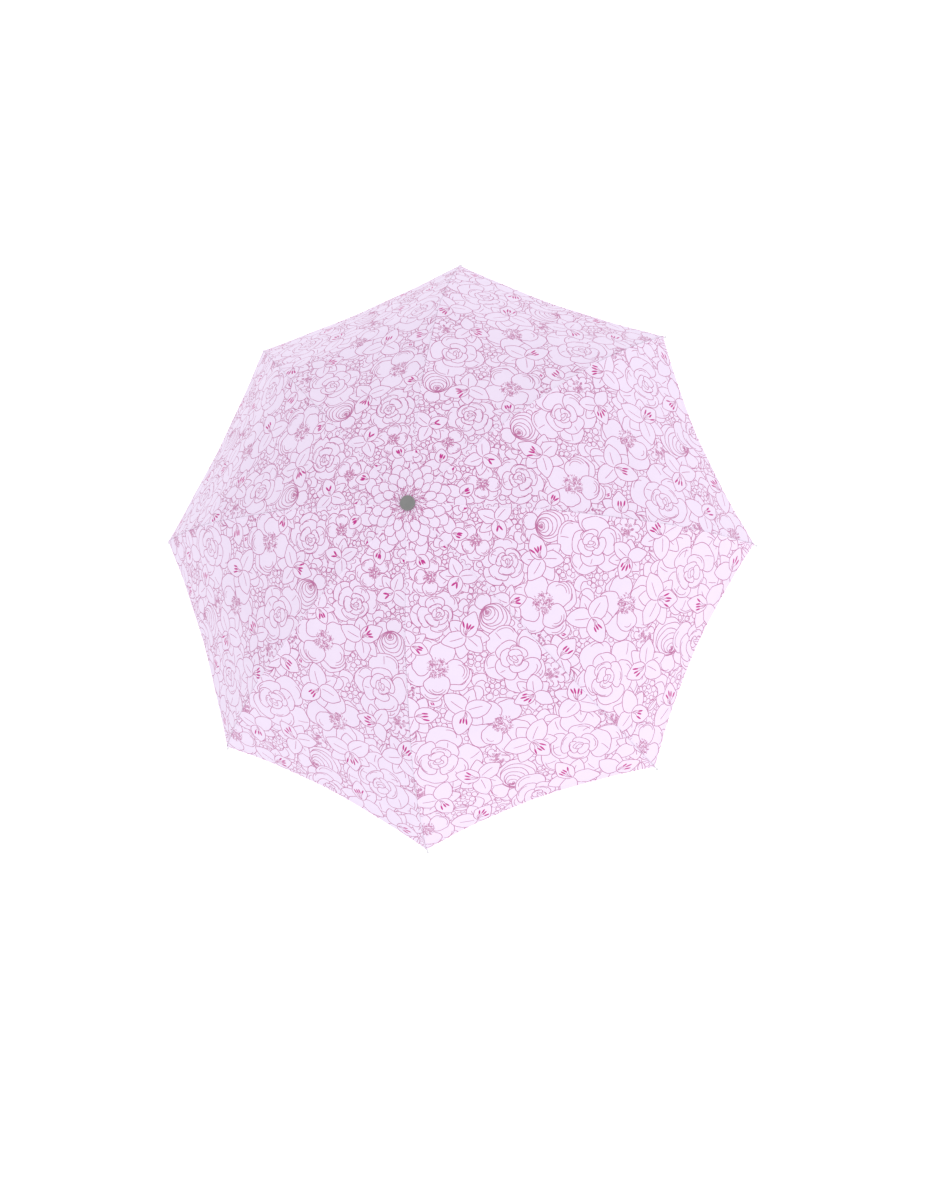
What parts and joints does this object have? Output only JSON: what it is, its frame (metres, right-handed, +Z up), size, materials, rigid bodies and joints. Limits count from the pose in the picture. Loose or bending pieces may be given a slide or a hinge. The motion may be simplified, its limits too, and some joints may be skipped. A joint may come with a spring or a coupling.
{
  "type": "folding umbrella",
  "caption": "Open folding umbrella: round cloth canopy on jointed ribs, runner and stretchers, telescoping shaft and straight push-button grip.",
  "frame": {"origin": "centre of the bottom face of the handle", "axes": "+Z up the shaft to the crown, +X along the first rib, -Y towards the button"},
  "size_m": [0.976, 0.976, 0.6152],
  "materials": {
    "cloth": "fine plain weave, printed with pink line flowers",
    "rib_metal": "satin",
    "stretcher_metal": "zinc plated",
    "rib_rod": "pale glass-fibre rod with moulded tip",
    "shaft_metal": "chromed satin",
    "spring_steel": "bright",
    "hinge_wire": "bright",
    "hub_plastic": "moulded",
    "cap_grey": "satin grey",
    "grip": "soft-touch",
    "button_grey": "gloss"
  },
  "bodies": {
    "handle": {"handle_shell": "grip", "handle_core": "grip", "handle_end_cap": "grip", "tube_lower": "shaft_metal", "main_spring": "spring_steel", "button_spring": "spring_steel"},
    "button": {"button": "button_grey"},
    "middle_tube": {"tube_middle": "shaft_metal", "bush_middle": "hub_plastic"},
    "upper_tube": {"tube_upper": "shaft_metal", "bush_upper": "hub_plastic", "crown": "hub_plastic", "crown_wire": "hinge_wire", "cap": "cap_grey"},
    "runner": {"runner": "hub_plastic", "runner_wire": "hinge_wire"},
    "rib_inner_1": {"rib_inner_1": "rib_metal", "gore_1": "cloth"},
    "stretcher_1": {"stretcher_1": "stretcher_metal"},
    "rib_middle_1": {"rib_middle_1": "rib_metal"},
    "rib_outer_1": {"rib_outer_1": "rib_rod"},
    "rib_inner_2": {"rib_inner_2": "rib_metal", "gore_2": "cloth"},
    "stretcher_2": {"stretcher_2": "stretcher_metal"},
    "rib_middle_2": {"rib_middle_2": "rib_metal"},
    "rib_outer_2": {"rib_outer_2": "rib_rod"},
    "rib_inner_3": {"rib_inner_3": "rib_metal", "gore_3": "cloth"},
    "stretcher_3": {"stretcher_3": "stretcher_metal"},
    "rib_middle_3": {"rib_middle_3": "rib_metal"},
    "rib_outer_3": {"rib_outer_3": "rib_rod"},
    "rib_inner_4": {"rib_inner_4": "rib_metal", "gore_4": "cloth"},
    "stretcher_4": {"stretcher_4": "stretcher_metal"},
    "rib_middle_4": {"rib_middle_4": "rib_metal"},
    "rib_outer_4": {"rib_outer_4": "rib_rod"},
    "rib_inner_5": {"rib_inner_5": "rib_metal", "gore_5": "cloth"},
    "stretcher_5": {"stretcher_5": "stretcher_metal"},
    "rib_middle_5": {"rib_middle_5": "rib_metal"},
    "rib_outer_5": {"rib_outer_5": "rib_rod"},
    "rib_inner_6": {"rib_inner_6": "rib_metal", "gore_6": "cloth", "tie_strap": "cloth"},
    "stretcher_6": {"stretcher_6": "stretcher_metal"},
    "rib_middle_6": {"rib_middle_6": "rib_metal"},
    "rib_outer_6": {"rib_outer_6": "rib_rod"},
    "rib_inner_7": {"rib_inner_7": "rib_metal", "gore_7": "cloth"},
    "stretcher_7": {"stretcher_7": "stretcher_metal"},
    "rib_middle_7": {"rib_middle_7": "rib_metal"},
    "rib_outer_7": {"rib_outer_7": "rib_rod"},
    "rib_inner_8": {"rib_inner_8": "rib_metal", "gore_8": "cloth"},
    "stretcher_8": {"stretcher_8": "stretcher_metal"},
    "rib_middle_8": {"rib_middle_8": "rib_metal"},
    "rib_outer_8": {"rib_outer_8": "rib_rod"}
  },
  "joints": [
    {"name": "lower_telescope", "type": "slide", "parent": "handle", "child": "middle_tube", "axis": [0, 0, -1], "range_m": [0, 0.1635], "deforming": ["main_spring"]},
    {"name": "upper_telescope", "type": "slide", "parent": "middle_tube", "child": "upper_tube", "axis": [0, 0, -1], "range_m": [0, 0.1575]},
    {"name": "runner_slide", "type": "slide", "parent": "upper_tube", "child": "runner", "axis": [0, 0, -1], "range_m": [0, 0.144], "deforming": ["gore_1", "gore_2", "gore_3", "gore_4", "gore_5", "gore_6", "gore_7", "gore_8", "tie_strap"]},
    {"name": "button_press", "type": "slide", "parent": "handle", "child": "button", "axis": [0, 1, 0], "range_m": [0, 0.0025], "stiffness_N_per_m": 900, "springref_m": -0.002, "deforming": ["button_spring"]},
    {"name": "crown_hinge_1", "type": "hinge", "parent": "upper_tube", "child": "rib_inner_1", "pos_m": [0.01, 0, 0.602], "axis": [0, -1, 0], "range_deg": [-75.88, 0]},
    {"name": "stretcher_hinge_1", "type": "hinge", "parent": "rib_inner_1", "child": "stretcher_1", "pos_m": [0.09827, 0, 0.58401], "axis": [0, -1, 0], "range_deg": [0, 151.75]},
    {"name": "first_knee_1", "type": "hinge", "parent": "rib_inner_1", "child": "rib_middle_1", "pos_m": [0.18999, 0, 0.57499], "axis": [0, -1, 0], "range_deg": [0, 191.01]},
    {"name": "second_knee_1", "type": "hinge", "parent": "rib_middle_1", "child": "rib_outer_1", "pos_m": [0.34474, 0, 0.49552], "axis": [0, -1, 0], "range_deg": [-154.31, 0]},
    {"name": "crown_hinge_2", "type": "hinge", "parent": "upper_tube", "child": "rib_inner_2", "pos_m": [0.00707, 0.00707, 0.602], "axis": [0.7071, -0.7071, 0], "range_deg": [-75.88, 0]},
    {"name": "stretcher_hinge_2", "type": "hinge", "parent": "rib_inner_2", "child": "stretcher_2", "pos_m": [0.06948, 0.06948, 0.58401], "axis": [0.7071, -0.7071, 0], "range_deg": [0, 151.75]},
    {"name": "first_knee_2", "type": "hinge", "parent": "rib_inner_2", "child": "rib_middle_2", "pos_m": [0.13435, 0.13435, 0.57499], "axis": [0.7071, -0.7071, 0], "range_deg": [0, 191.01]},
    {"name": "second_knee_2", "type": "hinge", "parent": "rib_middle_2", "child": "rib_outer_2", "pos_m": [0.24377, 0.24377, 0.49552], "axis": [0.7071, -0.7071, 0], "range_deg": [-154.31, 0]},
    {"name": "crown_hinge_3", "type": "hinge", "parent": "upper_tube", "child": "rib_inner_3", "pos_m": [0, 0.01, 0.602], "axis": [1, 0, 0], "range_deg": [-75.88, 0]},
    {"name": "stretcher_hinge_3", "type": "hinge", "parent": "rib_inner_3", "child": "stretcher_3", "pos_m": [0, 0.09827, 0.58401], "axis": [1, 0, 0], "range_deg": [0, 151.75]},
    {"name": "first_knee_3", "type": "hinge", "parent": "rib_inner_3", "child": "rib_middle_3", "pos_m": [0, 0.18999, 0.57499], "axis": [1, 0, 0], "range_deg": [0, 191.01]},
    {"name": "second_knee_3", "type": "hinge", "parent": "rib_middle_3", "child": "rib_outer_3", "pos_m": [0, 0.34474, 0.49552], "axis": [1, 0, 0], "range_deg": [-154.31, 0]},
    {"name": "crown_hinge_4", "type": "hinge", "parent": "upper_tube", "child": "rib_inner_4", "pos_m": [-0.00707, 0.00707, 0.602], "axis": [0.7071, 0.7071, 0], "range_deg": [-75.88, 0]},
    {"name": "stretcher_hinge_4", "type": "hinge", "parent": "rib_inner_4", "child": "stretcher_4", "pos_m": [-0.06948, 0.06948, 0.58401], "axis": [0.7071, 0.7071, 0], "range_deg": [0, 151.75]},
    {"name": "first_knee_4", "type": "hinge", "parent": "rib_inner_4", "child": "rib_middle_4", "pos_m": [-0.13435, 0.13435, 0.57499], "axis": [0.7071, 0.7071, 0], "range_deg": [0, 191.01]},
    {"name": "second_knee_4", "type": "hinge", "parent": "rib_middle_4", "child": "rib_outer_4", "pos_m": [-0.24377, 0.24377, 0.49552], "axis": [0.7071, 0.7071, 0], "range_deg": [-154.31, 0]},
    {"name": "crown_hinge_5", "type": "hinge", "parent": "upper_tube", "child": "rib_inner_5", "pos_m": [-0.01, 0, 0.602], "axis": [0, 1, 0], "range_deg": [-75.88, 0]},
    {"name": "stretcher_hinge_5", "type": "hinge", "parent": "rib_inner_5", "child": "stretcher_5", "pos_m": [-0.09827, 0, 0.58401], "axis": [0, 1, 0], "range_deg": [0, 151.75]},
    {"name": "first_knee_5", "type": "hinge", "parent": "rib_inner_5", "child": "rib_middle_5", "pos_m": [-0.18999, 0, 0.57499], "axis": [0, 1, 0], "range_deg": [0, 191.01]},
    {"name": "second_knee_5", "type": "hinge", "parent": "rib_middle_5", "child": "rib_outer_5", "pos_m": [-0.34474, 0, 0.49552], "axis": [0, 1, 0], "range_deg": [-154.31, 0]},
    {"name": "crown_hinge_6", "type": "hinge", "parent": "upper_tube", "child": "rib_inner_6", "pos_m": [-0.00707, -0.00707, 0.602], "axis": [-0.7071, 0.7071, 0], "range_deg": [-75.88, 0]},
    {"name": "stretcher_hinge_6", "type": "hinge", "parent": "rib_inner_6", "child": "stretcher_6", "pos_m": [-0.06948, -0.06948, 0.58401], "axis": [-0.7071, 0.7071, 0], "range_deg": [0, 151.75]},
    {"name": "first_knee_6", "type": "hinge", "parent": "rib_inner_6", "child": "rib_middle_6", "pos_m": [-0.13435, -0.13435, 0.57499], "axis": [-0.7071, 0.7071, 0], "range_deg": [0, 191.01]},
    {"name": "second_knee_6", "type": "hinge", "parent": "rib_middle_6", "child": "rib_outer_6", "pos_m": [-0.24377, -0.24377, 0.49552], "axis": [-0.7071, 0.7071, 0], "range_deg": [-154.31, 0]},
    {"name": "crown_hinge_7", "type": "hinge", "parent": "upper_tube", "child": "rib_inner_7", "pos_m": [0, -0.01, 0.602], "axis": [-1, 0, 0], "range_deg": [-75.88, 0]},
    {"name": "stretcher_hinge_7", "type": "hinge", "parent": "rib_inner_7", "child": "stretcher_7", "pos_m": [0, -0.09827, 0.58401], "axis": [-1, 0, 0], "range_deg": [0, 151.75]},
    {"name": "first_knee_7", "type": "hinge", "parent": "rib_inner_7", "child": "rib_middle_7", "pos_m": [0, -0.18999, 0.57499], "axis": [-1, 0, 0], "range_deg": [0, 191.01]},
    {"name": "second_knee_7", "type": "hinge", "parent": "rib_middle_7", "child": "rib_outer_7", "pos_m": [0, -0.34474, 0.49552], "axis": [-1, 0, 0], "range_deg": [-154.31, 0]},
    {"name": "crown_hinge_8", "type": "hinge", "parent": "upper_tube", "child": "rib_inner_8", "pos_m": [0.00707, -0.00707, 0.602], "axis": [-0.7071, -0.7071, 0], "range_deg": [-75.88, 0]},
    {"name": "stretcher_hinge_8", "type": "hinge", "parent": "rib_inner_8", "child": "stretcher_8", "pos_m": [0.06948, -0.06948, 0.58401], "axis": [-0.7071, -0.7071, 0], "range_deg": [0, 151.75]},
    {"name": "first_knee_8", "type": "hinge", "parent": "rib_inner_8", "child": "rib_middle_8", "pos_m": [0.13435, -0.13435, 0.57499], "axis": [-0.7071, -0.7071, 0], "range_deg": [0, 191.01]},
    {"name": "second_knee_8", "type": "hinge", "parent": "rib_middle_8", "child": "rib_outer_8", "pos_m": [0.24377, -0.24377, 0.49552], "axis": [-0.7071, -0.7071, 0], "range_deg": [-154.31, 0]}
  ],
  "couplings": [
    {"joint": "crown_hinge_1", "follows": "runner_slide", "rad_per_m": -9.1954},
    {"joint": "stretcher_hinge_1", "follows": "runner_slide", "rad_per_m": 18.391},
    {"joint": "first_knee_1", "follows": "runner_slide", "rad_per_m": 23.15},
    {"joint": "second_knee_1", "follows": "runner_slide", "rad_per_m": -18.702},
    {"joint": "crown_hinge_2", "follows": "runner_slide", "rad_per_m": -9.1954},
    {"joint": "stretcher_hinge_2", "follows": "runner_slide", "rad_per_m": 18.391},
    {"joint": "first_knee_2", "follows": "runner_slide", "rad_per_m": 23.15},
    {"joint": "second_knee_2", "follows": "runner_slide", "rad_per_m": -18.702},
    {"joint": "crown_hinge_3", "follows": "runner_slide", "rad_per_m": -9.1954},
    {"joint": "stretcher_hinge_3", "follows": "runner_slide", "rad_per_m": 18.391},
    {"joint": "first_knee_3", "follows": "runner_slide", "rad_per_m": 23.15},
    {"joint": "second_knee_3", "follows": "runner_slide", "rad_per_m": -18.702},
    {"joint": "crown_hinge_4", "follows": "runner_slide", "rad_per_m": -9.1954},
    {"joint": "stretcher_hinge_4", "follows": "runner_slide", "rad_per_m": 18.391},
    {"joint": "first_knee_4", "follows": "runner_slide", "rad_per_m": 23.15},
    {"joint": "second_knee_4", "follows": "runner_slide", "rad_per_m": -18.702},
    {"joint": "crown_hinge_5", "follows": "runner_slide", "rad_per_m": -9.1954},
    {"joint": "stretcher_hinge_5", "follows": "runner_slide", "rad_per_m": 18.391},
    {"joint": "first_knee_5", "follows": "runner_slide", "rad_per_m": 23.15},
    {"joint": "second_knee_5", "follows": "runner_slide", "rad_per_m": -18.702},
    {"joint": "crown_hinge_6", "follows": "runner_slide", "rad_per_m": -9.1954},
    {"joint": "stretcher_hinge_6", "follows": "runner_slide", "rad_per_m": 18.391},
    {"joint": "first_knee_6", "follows": "runner_slide", "rad_per_m": 23.15},
    {"joint": "second_knee_6", "follows": "runner_slide", "rad_per_m": -18.702},
    {"joint": "crown_hinge_7", "follows": "runner_slide", "rad_per_m": -9.1954},
    {"joint": "stretcher_hinge_7", "follows": "runner_slide", "rad_per_m": 18.391},
    {"joint": "first_knee_7", "follows": "runner_slide", "rad_per_m": 23.15},
    {"joint": "second_knee_7", "follows": "runner_slide", "rad_per_m": -18.702},
    {"joint": "crown_hinge_8", "follows": "runner_slide", "rad_per_m": -9.1954},
    {"joint": "stretcher_hinge_8", "follows": "runner_slide", "rad_per_m": 18.391},
    {"joint": "first_knee_8", "follows": "runner_slide", "rad_per_m": 23.15},
    {"joint": "second_knee_8", "follows": "runner_slide", "rad_per_m": -18.702}
  ]
}
